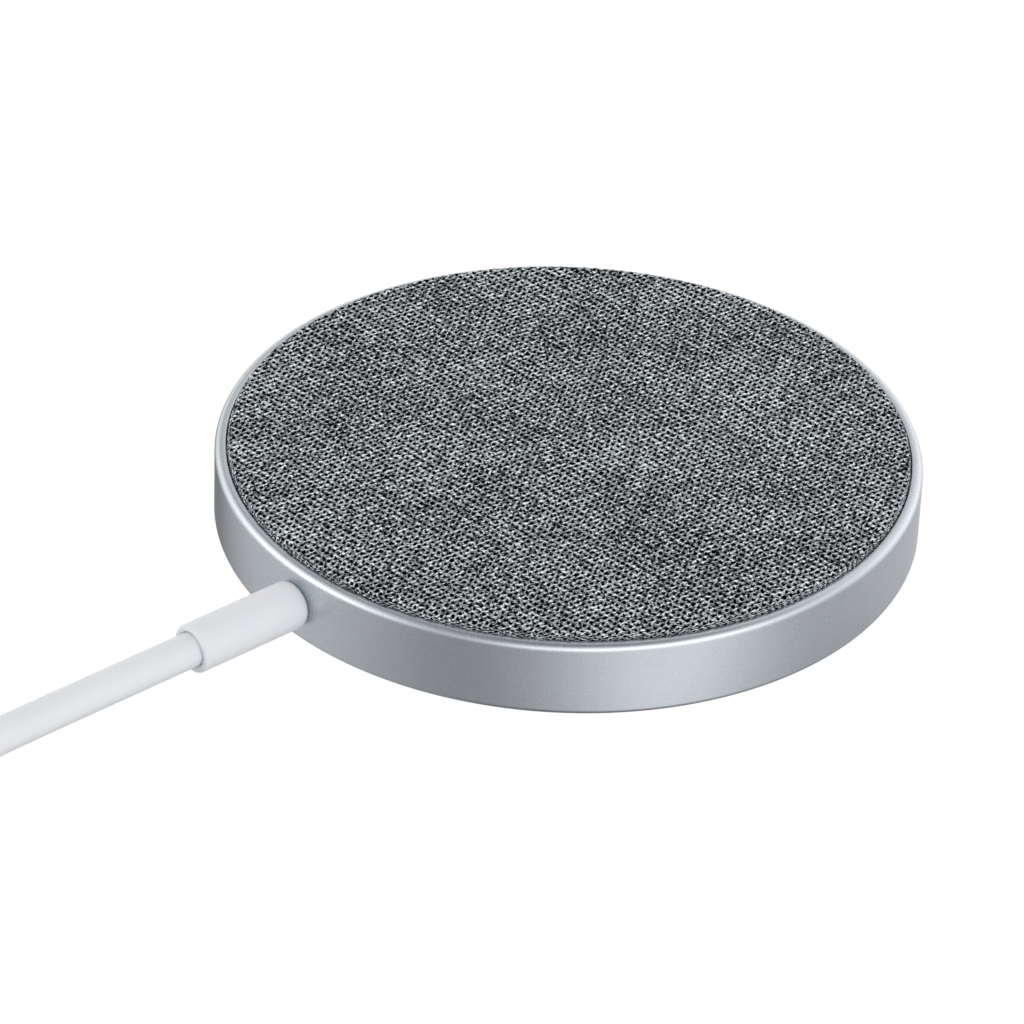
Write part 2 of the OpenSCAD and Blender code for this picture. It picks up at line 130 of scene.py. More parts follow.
def wound_point(travel):
    """The cord's centre after that many degrees round the put-away coil, clockwise from its -Y side."""
    turn, along = divmod(travel, 360)
    shift = smoothstep((along - SHIFT_FROM) / SHIFT_SPAN)
    inner_r = WIND_OUTER_R - (LOWER_TURNS - 1) * CORD_D
    if turn < LOWER_TURNS - 1:
        r = WIND_OUTER_R - (turn + shift) * CORD_D
        z = CORD_R
    elif turn < LOWER_TURNS:
        # The lower layer's last turn climbs over its neighbour into the upper layer
        neighbour_r = inner_r + (1 - shift) * CORD_D
        climb = math.radians(CLIMB_FROM + (CLIMB_TO - CLIMB_FROM) * shift)
        r = neighbour_r + CORD_D * math.cos(climb)
        z = CORD_R + CORD_D * math.sin(climb)
    else:
        upper = turn - LOWER_TURNS
        last = upper >= UPPER_TURNS - 1
        r = inner_r + CORD_R + (upper + (0 if last else shift)) * CORD_D
        # It lies between two lower turns, and on top of them where the two layers cross
        into = smoothstep((along - SHIFT_FROM + RISE_RAMP) / RISE_RAMP)
        out = smoothstep(1 - along / RISE_RAMP) if upper else 0
        crossing = max(into, out)
        z = CORD_R + CORD_D * (NEST_RISE + (1 - NEST_RISE) * crossing)
    angle = -90 - travel
    from_tie = abs((angle - TIE_ANGLE + 180) % 360 - 180)
    z += TIE_LIFT * smoothstep((TIE_FADE - from_tie) / (TIE_FADE - TIE_HOLD))
    a = math.radians(angle)
    return (WIND_CENTRE[0] + r * math.cos(a), WIND_CENTRE[1] + r * math.sin(a), z)


def smooth_line(points, step):
    """Points every step or so along a smooth curve through the given ones."""
    points = [Vector(p) for p in points]
    ends = [2 * points[0] - points[1], *points, 2 * points[-1] - points[-2]]
    out = []
    for before, start, end, after in zip(ends, ends[1:], ends[2:], ends[3:]):
        length = (end - start).length
        lead_in = (end - before) / ((end - start).length + (start - before).length) * length
        lead_out = (after - start) / ((after - end).length + (end - start).length) * length
        count = max(1, math.ceil(length / step))
        for i in range(count):
            t = i / count
            out.append(
                start * (2 * t**3 - 3 * t**2 + 1)
                + lead_in * (t**3 - 2 * t**2 + t)
                + end * (3 * t**2 - 2 * t**3)
                + lead_out * (t**3 - t**2)
            )
    return [*out, points[-1]]


def cord_line():
    turns = LOWER_TURNS + UPPER_TURNS
    wound = [wound_point(i * 360 / POINTS_A_TURN) for i in range(1, turns * POINTS_A_TURN)]
    return smooth_line([*LEAD_ROUTE, *wound, *TAIL_ROUTE], CORD_STEP)


def make_cord():
    line = cord_line()
    curve = bpy.data.curves.new("Cord", "CURVE")
    curve.dimensions = "3D"
    curve.bevel_depth = CORD_R * MM
    curve.bevel_resolution = 6
    curve.use_fill_caps = True
    spline = curve.splines.new("POLY")
    spline.points.add(len(line) - 1)
    for point, place in zip(spline.points, line):
        point.co = (*(place * MM), 1)
    spline.use_smooth = True
    cord = bpy.data.objects.new("Cord", curve)
    bpy.context.scene.collection.objects.link(cord)
    return cord


# ---- Mesh helpers ----

# Edges that turn by more than these angles stay sharp
CUP_SHARP_DEG = 35
SHARP_DEG = 50
TIE_SHARP_DEG = 60
# Steps in a quarter turn of the tie's and the grip's corners
CORNER_STEPS = 8


def box_mm(node):
    low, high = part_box(node)
    return low / MM, high / MM


def new_piece(name, points, faces, slot, replaced):
    """A mesh piece from points in millimetres, on the pad's body, in place of the replaced nodes."""
    mesh = bpy.data.meshes.new(name)
    mesh.from_pydata([tuple(Vector(p) * MM) for p in points], [], faces)
    mesh.validate()
    mesh.polygons.foreach_set("use_smooth", [True] * len(mesh.polygons))
    piece = bpy.data.objects.new(name, mesh)
    bpy.context.scene.collection.objects.link(piece)
    piece.data.materials.append(MATERIALS[slot])
    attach(piece, "root")
    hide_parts(*replaced)
    return piece


def arc(centre, r, start, end, steps):
    """Points on an arc in a profile: angles in degrees, 0 outward and 90 up."""
    out = []
    for i in range(steps + 1):
        a = math.radians(start + (end - start) * i / steps)
        out.append((centre[0] + r * math.cos(a), centre[1] + r * math.sin(a)))
    return out


def lathe(profile, steps, place=Matrix.Identity(4)):
    """Points and faces of a closed profile of (radius, height) turned about Z, then put in place."""
    points, rings = [], []
    for r, z in profile:
        if r == 0:
            rings.append([len(points)] * steps)
            points.append(place @ Vector((0, 0, z)))
            continue
        rings.append(list(range(len(points), len(points) + steps)))
        for i in range(steps):
            a = math.tau * i / steps
            points.append(place @ Vector((r * math.cos(a), r * math.sin(a), z)))
    faces = []
    for low, high in zip(rings, rings[1:] + rings[:1]):
        for i in range(steps):
            j = (i + 1) % steps
            corners = [low[i], low[j], high[j], high[i]]
            face = [c for k, c in enumerate(corners) if c != corners[k - 1]]
            if len(face) > 2:
                faces.append(face)
    return points, faces


def sharpen(piece, degrees):
    """Edges that turn by more than that stay sharp under smooth shading."""
    mesh = piece.data
    normals = {}
    for face in mesh.polygons:
        for key in face.edge_keys:
            normals.setdefault(key, []).append(face.normal.copy())
    sharp = []
    for edge in mesh.edges:
        pair = normals.get(tuple(sorted(edge.vertices)), [])
        sharp.append(len(pair) == 2 and pair[0].angle(pair[1], 0) > math.radians(degrees))
    attribute = mesh.attributes.new("sharp_edge", "BOOLEAN", "EDGE")
    attribute.data.foreach_set("value", sharp)


# ---- Materials ----

# Most of a grain's noise lies between these two values, which give the two ends of the roughness
GRAIN_LOW, GRAIN_HIGH = 0.2, 0.8
# How far the grain takes the roughness to each side of its middle
PLASTIC_SPREAD = 0.06
METAL_SPREAD = 0.05
METAL_CLOUD_MM = 9
SUBSURFACE_MM = 0.4


class NodeTree:
    """A node tree, with short calls for adding nodes."""

    def __init__(self, tree):
        self.tree = tree

    def node(self, kind, **settings):
        made = self.tree.nodes.new(kind)
        for key, value in settings.items():
            setattr(made, key, value)
        return made

    def feed(self, socket, value):
        if isinstance(value, bpy.types.NodeSocket):
            self.tree.links.new(value, socket)
        else:
            socket.default_value = value

    def math(self, operation, *values):
        made = self.node("ShaderNodeMath", operation=operation)
        for socket, value in zip(made.inputs, values):
            self.feed(socket, value)
        return made.outputs[0]


class Shading(NodeTree):
    """A material's node tree, with short calls for the nodes that these materials use."""

    def __init__(self, name):
        self.material = bpy.data.materials.new(name)
        self.material.use_nodes = True
        super().__init__(self.material.node_tree)
        self.shader = self.tree.nodes["Principled BSDF"]

    def weigh(self, first, first_share, second, second_share):
        """Two values added by their shares."""
        first_part = self.math("MULTIPLY", first, first_share)
        second_part = self.math("MULTIPLY", second, second_share)
        return self.math("ADD", first_part, second_part)

    def mix(self, share, low, high):
        """Between two numbers."""
        made = self.node("ShaderNodeMix", data_type="FLOAT")
        self.feed(made.inputs[0], share)
        self.feed(made.inputs[2], low)
        self.feed(made.inputs[3], high)
        return made.outputs[0]

    def mix_colour(self, share, low, high):
        made = self.node("ShaderNodeMix", data_type="RGBA")
        self.feed(made.inputs[0], share)
        self.feed(made.inputs[6], low)
        self.feed(made.inputs[7], high)
        return made.outputs[2]

    def vector(self, x, y, z):
        made = self.node("ShaderNodeCombineXYZ")
        for socket, value in zip(made.inputs, (x, y, z)):
            self.feed(socket, value)
        return made.outputs[0]

    def object_place(self):
        return self.node("ShaderNodeTexCoord").outputs["Object"]

    def noise(self, place, scale, detail, roughness=0.5):
        made = self.node("ShaderNodeTexNoise")
        self.feed(made.inputs["Vector"], place)
        made.inputs["Scale"].default_value = scale
        made.inputs["Detail"].default_value = detail
        made.inputs["Roughness"].default_value = roughness
        return made.outputs["Fac"]

    def remap(self, value, low, high, to_low, to_high):
        made = self.node("ShaderNodeMapRange")
        for socket, v in zip(made.inputs, (value, low, high, to_low, to_high)):
            self.feed(socket, v)
        return made.outputs[0]

    def around(self, middle, spread, grain):
        """A number that follows the grain, that far down and up from its middle."""
        return self.remap(grain, GRAIN_LOW, GRAIN_HIGH, middle - spread, middle + spread)

    def bump(self, height, strength, distance_mm):
        made = self.node("ShaderNodeBump")
        made.inputs["Strength"].default_value = strength
        made.inputs["Distance"].default_value = distance_mm * MM
        self.feed(made.inputs["Height"], height)
        return made.outputs["Normal"]

    def set(self, **values):
        for key, value in values.items():
            self.feed(self.shader.inputs[key.replace("_", " ")], value)


def rgba(colour, factor):
    return (*[min(1, c * factor) for c in colour], 1)


def soft_plastic(name, colour, roughness, grain_mm, bump, cloud_mm, subsurface=0.0):
    """Moulded plastic or rubber: a fine matte grain and a faint unevenness of tone."""
    s = Shading(name)
    place = s.object_place()
    grain = s.noise(place, 1 / (grain_mm * MM), 3)
    cloud = s.noise(place, 1 / (cloud_mm * MM), 2)
    share = s.weigh(grain, 0.35, cloud, 0.65)
    s.set(
        Base_Color=s.mix_colour(share, rgba(colour, 0.94), rgba(colour, 1.05)),
        Roughness=s.around(roughness, PLASTIC_SPREAD, grain),
        Normal=s.bump(grain, bump, grain_mm / 4),
    )
    if subsurface:
        s.set(Subsurface_Weight=subsurface, Subsurface_Scale=SUBSURFACE_MM * MM)
    return s.material


def metal(name, colour, roughness, grain_mm, bump, spread=0.05, edge=1.0):
    """Metal with a fine even grain, as blasting or plating leaves it. A low edge dims it at a slant."""
    s = Shading(name)
    place = s.object_place()
    grain = s.noise(place, 1 / (grain_mm * MM), 2)
    cloud = s.noise(place, 1 / (METAL_CLOUD_MM * MM), 2)
    share = s.weigh(grain, 0.75, cloud, 0.25)
    s.set(
        Base_Color=s.mix_colour(share, rgba(colour, 1 - spread), rgba(colour, 1 + spread)),
        Metallic=1.0,
        Specular_Tint=(edge, edge, edge, 1),
        Roughness=s.around(roughness, METAL_SPREAD, grain),
        Normal=s.bump(grain, bump, grain_mm / 3),
    )
    return s.material


COPPER_RUN_MM = 1.4


def board_material():
    """Green solder mask with copper runs showing through it as lighter lines."""
    s = Shading("board")
    place = s.object_place()
    cells = s.node("ShaderNodeTexVoronoi", feature="DISTANCE_TO_EDGE", distance="MANHATTAN")
    s.feed(cells.inputs["Vector"], place)
    cells.inputs["Scale"].default_value = 1 / (COPPER_RUN_MM * MM)
    run = s.remap(cells.outputs["Distance"], 0.06, 0.1, 1, 0)
    grain = s.noise(place, 1 / (0.3 * MM), 3)
    green = s.mix_colour(run, (0.01, 0.1, 0.055, 1), (0.04, 0.22, 0.12, 1))
    s.set(
        Base_Color=s.mix_colour(s.math("MULTIPLY", grain, 0.2), green, (0.02, 0.05, 0.04, 1)),
        Roughness=s.remap(grain, 0, 1, 0.3, 0.45),
        Normal=s.bump(run, 0.3, 0.03),
    )
    return s.material


STRAND_MM = 0.12


def winding_material():
    """Enamelled copper strands laid side by side round the winding, each darker towards the grooves
    between them: painted shade.
    """
    s = Shading("copper")
    place = s.object_place()
    parts = s.node("ShaderNodeSeparateXYZ")
    s.feed(parts.inputs[0], place)
    x_squared = s.math("POWER", parts.outputs[0], 2.0)
    y_squared = s.math("POWER", parts.outputs[1], 2.0)
    r = s.math("POWER", s.math("ADD", x_squared, y_squared), 0.5)
    strand_relief_and_shade = s.math("PINGPONG", s.math("MULTIPLY", r, 1 / (STRAND_MM * MM)), 1.0)
    grain = s.noise(place, 1 / (0.4 * MM), 3)
    s.set(
        # The colour darkens towards the grooves between strands: painted shade that follows the
        # strands' relief
        Base_Color=s.mix_colour(strand_relief_and_shade, (0.32, 0.11, 0.045, 1), (0.72, 0.34, 0.17, 1)),
        Metallic=1.0,
        Roughness=s.remap(grain, 0, 1, 0.25, 0.42),
        Normal=s.bump(strand_relief_and_shade, 0.5, 0.03),
    )
    return s.material


def tie_material():
    """Hook-and-loop tape: a short fuzz in small tufts."""
    s = Shading("tie_strap")
    place = s.object_place()
    fuzz = s.noise(place, 1 / (0.12 * MM), 4, 0.7)
    tufts = s.noise(place, 1 / (0.5 * MM), 2)
    share = s.weigh(fuzz, 0.6, tufts, 0.4)
    tone = s.remap(share, 0.3, 0.7, 0, 1)
    s.set(
        Base_Color=s.mix_colour(tone, (0.5, 0.51, 0.53, 1), (0.85, 0.86, 0.88, 1)),
        Roughness=0.95,
        Sheen_Weight=0.4,
        Sheen_Roughness=0.5,
        Normal=s.bump(share, 0.8, 0.12),
    )
    return s.material


FERRITE_CELL_MM = 2.5


def ferrite_material():
    """A dark sintered sheet, scored so that it cracks into small cells."""
    s = Shading("ferrite")
    place = s.object_place()
    cracks = s.node("ShaderNodeTexVoronoi", feature="DISTANCE_TO_EDGE")
    s.feed(cracks.inputs["Vector"], place)
    cracks.inputs["Scale"].default_value = 1 / (FERRITE_CELL_MM * MM)
    line = s.remap(cracks.outputs["Distance"], 0.0, 0.04, 0, 1)
    grain = s.noise(place, 1 / (0.2 * MM), 3)
    grey = s.mix_colour(grain, (0.025, 0.025, 0.028, 1), (0.06, 0.06, 0.065, 1))
    s.set(
        Base_Color=s.mix_colour(line, (0.012, 0.012, 0.013, 1), grey),
        Roughness=s.remap(grain, 0, 1, 0.5, 0.7),
        Normal=s.bump(line, 0.4, 0.04),
    )
    return s.material


# The weave: one cell holds one hole, with a warp yarn on each side and a weft yarn above and below
CELL_U = (0.644, -0.071)
CELL_V = (-0.031, 0.495)
WARP_SWING = 0.08
WEFT_SWING = 0.05
# The yarns' unevenness, as a part of a cell
UNEVEN = 0.4
# How much the yarns' tone, their fibres and the soft clouds count in the cloth's light and dark
TONE_SIZE, FIBRE_SIZE, CLOUD_SIZE = 0.45, 1.6, 0.16
# The light and dark ends, and the yarns' brightness there
LIGHT_LOW, LIGHT_HIGH = -0.17, 0.16
YARN_DARK, YARN_BRIGHT = 0.15, 1.02
YARN_CONTRAST = 1.9


def weave_noise(s, x, x_scale, y, y_scale, seed, detail, roughness=0.5):
    place = s.vector(s.math("MULTIPLY", x, x_scale), s.math("MULTIPLY", y, y_scale), seed)
    return s.noise(place, 1.0, detail, roughness)


def off_middle(s, value, size):
    """A noise's distance from its middle, times a size."""
    return s.math("MULTIPLY", s.math("SUBTRACT", value, 0.5), size)


def uneven_place(s, u, v):
    """The place in the weave, moved by a part of a cell so that the yarns are uneven."""
    wander_u = weave_noise(s, u, 1.1, v, 0.8, 0.0, 2)
    wander_v = weave_noise(s, u, 0.8, v, 1.1, 7.0, 2)
    u = s.math("ADD", u, off_middle(s, wander_u, UNEVEN))
    v = s.math("ADD", v, off_middle(s, wander_v, UNEVEN))
    kink_u = weave_noise(s, u, 2.0, v, 2.0, 31.0, 1)
    kink_v = weave_noise(s, u, 2.0, v, 2.0, 43.0, 1)
    u = s.math("ADD", u, off_middle(s, kink_u, UNEVEN))
    v = s.math("ADD", v, off_middle(s, kink_v, UNEVEN))
    return u, v


def swinging(s, across, length, swing):
    """The place across a yarn whose centre line swings from side to side along its length."""
    wave = s.math("SINE", s.math("MULTIPLY", length, math.tau))
    return s.math("ADD", across, s.math("MULTIPLY", wave, swing))


def yarn_tops(s, warp_u, weft_v):
    """How far up each yarn is: over and under in turn."""
    cos_u = s.math("COSINE", s.math("MULTIPLY", warp_u, math.pi))
    cos_v = s.math("COSINE", s.math("MULTIPLY", weft_v, math.pi))
    over = s.math("MULTIPLY", cos_u, cos_v)
    warp_round = s.math("POWER", s.math("ABSOLUTE", cos_u), 1.5)
    weft_round = s.math("POWER", s.math("ABSOLUTE", cos_v), 2.0)
    warp_top = s.math("MULTIPLY", warp_round, s.math("MULTIPLY_ADD", over, 0.35, 0.72))
    weft_top = s.math("MULTIPLY", weft_round, s.math("MULTIPLY_ADD", over, -0.35, 0.88))
    return warp_top, weft_top


def yarn_cover_and_hole_shade(s, u, v):
    """One on the yarns, nothing in the round holes between them. The cloth's colour turns the holes
    black: partly the dark backing seen through them, partly painted shade of their depth.
    """

    def wave(times_u, times_v, height):
        along_u = s.math("MULTIPLY", u, times_u * math.tau)
        along_v = s.math("MULTIPLY", v, times_v * math.tau)
        return s.math("MULTIPLY", s.math("COSINE", s.math("ADD", along_u, along_v)), height)

    rows = s.math("ADD", wave(1, 0, 0.4), wave(0, 1, 0.4))
    slant = s.math("ADD", wave(1, -1, -0.21), wave(2, -1, 0.21))
    return s.remap(s.math("ADD", rows, slant), -0.28, 0.36, 0.0, 1.0)


def cloth_material():
    """Melange cloth. Each point's place in the weave, in cells, is in the mesh as an attribute."""
    s = Shading("cloth")
    weave = s.node("ShaderNodeAttribute", attribute_name="weave").outputs["Vector"]
    parts = s.node("ShaderNodeSeparateXYZ")
    s.feed(parts.inputs[0], weave)
    u, v = uneven_place(s, parts.outputs[0], parts.outputs[1])
    warp_u = swinging(s, u, v, WARP_SWING)
    weft_v = swinging(s, v, u, WEFT_SWING)
    warp_top, weft_top = yarn_tops(s, warp_u, weft_v)
    warp_shows = s.remap(s.math("SUBTRACT", warp_top, weft_top), -0.06, 0.06, 0, 1)
    top = s.math("MAXIMUM", warp_top, weft_top)

    # Each yarn's own tone, which changes slowly along it, and short bright or dark fibres
    warp_tone = weave_noise(s, s.math("ROUND", warp_u), 7.31, v, 0.8, 0.0, 2, 0.6)
    weft_tone = weave_noise(s, u, 0.8, s.math("ROUND", weft_v), 5.77, 3.0, 2, 0.6)
    warp_fibre = weave_noise(s, warp_u, 3.2, v, 1.9, 11.0, 2)
    weft_fibre = weave_noise(s, u, 1.9, weft_v, 3.2, 19.0, 2)
    tone = s.mix(warp_shows, weft_tone, warp_tone)
    fibre = s.mix(warp_shows, weft_fibre, warp_fibre)
    cloud = s.noise(weave, 0.06, 1)
    light = s.math("ADD", off_middle(s, tone, TONE_SIZE), off_middle(s, fibre, FIBRE_SIZE))
    light = s.math("ADD", light, off_middle(s, cloud, CLOUD_SIZE))
    yarn = s.remap(light, LIGHT_LOW, LIGHT_HIGH, YARN_DARK, YARN_BRIGHT)
    # The holes go black here: partly the dark backing under the cloth, partly painted shade that the
    # shallow relief can't cast
    value = s.math("MULTIPLY", s.math("POWER", yarn, YARN_CONTRAST), yarn_cover_and_hole_shade(s, u, v))
    s.set(
        Base_Color=s.mix_colour(value, (0.0, 0.0, 0.0, 1), (0.885, 0.957, 1, 1)),
        Roughness=1.0,
        Specular_IOR_Level=0.0,
        Normal=s.bump(s.math("ADD", top, s.math("MULTIPLY", fibre, 0.4)), 0.35, 0.06),
    )
    return s.material


def make_materials():
    """A material for each slot. After a colour come its roughness, its grain in millimetres, its bump,
    and a plastic's cloud in millimetres and subsurface share, or a metal's spread of tone and edge."""
    white = (0.765, 0.785, 0.815)
    return {
        "metal_cup": metal("metal_cup", (0.588, 0.625, 0.668), 0.29, 0.09, 0.25, 0.32, 0.74),
        "cloth": cloth_material(),
        "cord_white": soft_plastic("cord_white", white, 0.5, 0.12, 0.12, 8, 0.1),
        "grip_white": soft_plastic("grip_white", (0.75, 0.77, 0.8), 0.3, 0.2, 0.05, 8, 0.1),
        "foot_silicone": soft_plastic("foot_silicone", (0.6, 0.61, 0.63), 0.6, 0.2, 0.3, 5),
        "tie_strap": tie_material(),
        "steel": metal("steel", (0.6, 0.6, 0.61), 0.28, 0.15, 0.04),
        "magnet": metal("magnet", (0.66, 0.65, 0.62), 0.2, 0.2, 0.05),
        "copper": winding_material(),
        "gold": metal("gold", (0.9, 0.66, 0.28), 0.25, 0.1, 0.05),
        "ferrite": ferrite_material(),
        "board": board_material(),
        "black_chip": soft_plastic("black_chip", (0.025, 0.025, 0.028), 0.5, 0.08, 0.3, 2),
        "ceramic": soft_plastic("ceramic", (0.5, 0.38, 0.24), 0.45, 0.1, 0.2, 1),
        "inner_plastic": soft_plastic("inner_plastic", (0.62, 0.62, 0.64), 0.5, 0.2, 0.2, 4),
        "tip_plastic": soft_plastic("tip_plastic", (0.03, 0.03, 0.033), 0.4, 0.1, 0.2, 2),
        "amber_film": soft_plastic("amber_film", (0.55, 0.24, 0.03), 0.2, 0.3, 0.1, 5),
        "gap_pad": soft_plastic("gap_pad", (0.3, 0.36, 0.45), 0.8, 0.15, 0.4, 2),
        "adhesive": soft_plastic("adhesive", (0.75, 0.75, 0.68), 0.35, 0.3, 0.2, 3),
        "wire": soft_plastic("wire", (0.5, 0.04, 0.03), 0.4, 0.1, 0.1, 2),
    }


def finish_cad_nodes():
    """Gives every node of the frame its slot's material."""
    for row in frame["record"]["subparts"]:
        mesh = frame["nodes"][row["node"]].data
        mesh.materials.clear()
        mesh.materials.append(MATERIALS[row["material_slot"]])


# ---- Body ----

LIP_W = 0.9
RIM_ROUND = 0.6
BASE_ROUND = 0.55
LIP_BREAK = 0.06
FOOT_W = 3.5
FOOT_ROUND = 0.15
FLOOR_T = 0.8
WALL_T = 1.6
# The step inside the cup that the board lies on
LEDGE_W = 1
CUP_STEPS = 384
FOOT_STEPS = 192


def make_cup():
    low, high = box_mm("housing")
    cover_low, _ = box_mm("cover_adhesive")
    board_low, _ = box_mm("controller_board")
    _, foot_high = box_mm("foot_ring")
    r, lip_r, cavity_r = high.x, high.x - LIP_W, high.x - WALL_T
    floor_r = cavity_r - LEDGE_W
    foot_out, foot_in = foot_high.x, foot_high.x - FOOT_W
    profile = [
        (0, low.z), (foot_in, low.z), (foot_in, foot_high.z),
        (foot_out, foot_high.z), (foot_out, low.z),
        *arc((r - BASE_ROUND, low.z + BASE_ROUND), BASE_ROUND, -90, 0, 10),
        (r, (low.z + high.z) / 2),
        *arc((r - RIM_ROUND, high.z - RIM_ROUND), RIM_ROUND, 0, 90, 16),
        *arc((lip_r + LIP_BREAK, high.z - LIP_BREAK), LIP_BREAK, 90, 180, 4),
        (lip_r, cover_low.z), (cavity_r, cover_low.z), (cavity_r, board_low.z),
        (floor_r, board_low.z), (floor_r, low.z + FLOOR_T), (0, low.z + FLOOR_T),
    ]
    cup = new_piece("PadCup", *lathe(profile, CUP_STEPS), "metal_cup", ["housing"])
    sharpen(cup, CUP_SHARP_DEG)


def make_foot():
    low, high = box_mm("foot_ring")
    out_r, in_r = high.x, high.x - FOOT_W
    profile = [
        (in_r, high.z), *arc((in_r + FOOT_ROUND, low.z + FOOT_ROUND), FOOT_ROUND, 180, 270, 5),
        *arc((out_r - FOOT_ROUND, low.z + FOOT_ROUND), FOOT_ROUND, -90, 0, 5), (out_r, high.z),
    ]
    foot = new_piece("PadFoot", *lathe(profile, FOOT_STEPS), "foot_silicone", ["foot_ring"])
    sharpen(foot, SHARP_DEG)


# ---- Fabric ----

CLOTH_ROUND = 0.4
CLOTH_ACROSS = 4
CLOTH_ALONG = 3
HOLE_DEPTH = 0.12
# Each of the waves that shift the weave is this high and this long, in millimetres
WANDER = 0.035
WANDER_WAVES = 6
WANDER_SEEDS = (3, 8)
SHORTEST_WANDER, LONGEST_WANDER = 7, 22
# Cells laid past the cut edge before the round is cut out, across and along
SPARE_U, SPARE_V = 3, 5
# The weave draws together by this much, from this share of the turned edge on
EDGE_DRAW = 3.0
DRAW_FROM = 0.5


def wander(points, seed):
    """Slow in-plane shifts of the weave, so that its rows aren't quite straight."""
    shuffle = random.Random(seed)
    shift = np.zeros(len(points))
    for _ in range(WANDER_WAVES):
        angle = shuffle.uniform(0, math.tau)
        wave = shuffle.uniform(SHORTEST_WANDER, LONGEST_WANDER)
        way = np.array([math.cos(angle), math.sin(angle)]) * math.tau / wave
        shift += np.sin(points @ way + shuffle.uniform(0, math.tau)) * WANDER
    return shift


def weave_relief(u, v):
    """Height of the cloth over its base, in millimetres, at places counted in cells."""
    warp_u = u + WARP_SWING * np.sin(2 * np.pi * v)
    weft_v = v + WEFT_SWING * np.sin(2 * np.pi * u)
    cos_u, cos_v = np.cos(np.pi * warp_u), np.cos(np.pi * weft_v)
    over = cos_u * cos_v
    warp_top = np.abs(cos_u) ** 1.6 * (0.85 + 0.3 * over)
    weft_top = np.abs(cos_v) ** 1.6 * (0.8 - 0.3 * over)
    top = np.maximum(warp_top, weft_top)
    return HOLE_DEPTH * (np.clip(top / 0.8, 0, 1.2) - 1)


def weave_grid(cut_r):
    """Places in the weave on each side of the centre, counted in cells, in rows along it."""
    reach_u = math.ceil(cut_r / CELL_U[0]) + SPARE_U
    reach_v = math.ceil(cut_r / CELL_V[1]) + SPARE_V
    u = np.arange(-reach_u * CLOTH_ACROSS, reach_u * CLOTH_ACROSS + 1) / CLOTH_ACROSS
    v = np.arange(-reach_v * CLOTH_ALONG, reach_v * CLOTH_ALONG + 1) / CLOTH_ALONG
    return np.meshgrid(u, v, indexing="ij")


def grid_quads(shape):
    index = np.arange(shape[0] * shape[1]).reshape(shape)
    corners = [index[:-1, :-1], index[1:, :-1], index[1:, 1:], index[:-1, 1:]]
    return np.stack(corners, axis=-1).reshape(-1, 4)


def make_fabric():
    low, high = box_mm("fabric_cover")
    edge_r, top_z = high.x, high.z
    flat_r = edge_r - CLOTH_ROUND
    arc_l = CLOTH_ROUND * math.pi / 2
    cut_r = flat_r + arc_l + top_z - CLOTH_ROUND - low.z
    rows_u, rows_v = weave_grid(cut_r)
    grid_u, grid_v = rows_u.ravel(), rows_v.ravel()
    flat = np.outer(grid_u, CELL_U) + np.outer(grid_v, CELL_V)
    flat = flat + np.stack([wander(flat, seed) for seed in WANDER_SEEDS], axis=1)

    # The cloth lies flat, turns down over the plate's edge and ends inside the rim
    s = np.linalg.norm(flat, axis=1)
    way = flat / np.maximum(s, 1e-9)[:, None]
    beta = np.clip((s - flat_r) / CLOTH_ROUND, 0, np.pi / 2)
    drop = np.clip(s - flat_r - arc_l, 0, None)
    r = np.where(s < flat_r, s, flat_r + CLOTH_ROUND * np.sin(beta))
    z = top_z - CLOTH_ROUND * (1 - np.cos(beta)) - drop
    relief = weave_relief(grid_u, grid_v)
    r = r + relief * np.sin(beta)
    z = z + relief * np.cos(beta)
    points = np.column_stack([way * r[:, None], z])

    # The weave draws together on the turned edge
    drawn = (EDGE_DRAW - 1) * np.clip(s - flat_r - DRAW_FROM * arc_l, 0, None)
    shift = (way * (s + drawn)[:, None] - flat) @ np.linalg.inv([CELL_U, CELL_V])
    cells = np.column_stack([grid_u, grid_v]) + shift

    quads = grid_quads(rows_u.shape)
    quads = quads[(s[quads] <= cut_r).all(axis=1)]
    used, faces = np.unique(quads, return_inverse=True)
    faces = faces.reshape(-1, 4)
    fabric = new_piece("PadFabric", points[used], faces.tolist(), "cloth", ["fabric_cover"])
    place = fabric.data.attributes.new("weave", "FLOAT_VECTOR", "POINT")
    cells = np.column_stack([cells[used], np.zeros(len(used))])
    place.data.foreach_set("vector", cells.astype(np.float32).ravel())


# ---- Sleeve ----

SLEEVE_ROUND = 0.28
# The sleeve's seen end is this far past its plain solid's
SLEEVE_PAST = 0.14
SHOULDER_R = 0.52
SHOULDER_L = 0.8
# Inside the cup the sleeve has a flange, and a neck that passes through the wall
FLANGE_T = 1.1
NECK_R = 1.75
NECK_PAST = 0.2
SLIP = 0.02
SLEEVE_STEPS = 96
# From the sleeve's round end down to the cord: the radius, and how far in from the end
SLEEVE_MOUTH = [(1.64, 0.01), (1.5, 0.05), (1.42, 0.18)]


def along(origin, direction):
    """A matrix that turns a lathe's Z to a direction from an origin."""
    turn = Vector(direction).to_track_quat("Z", "Y").to_matrix().to_4x4()
    return Matrix.Translation(Vector(origin)) @ turn


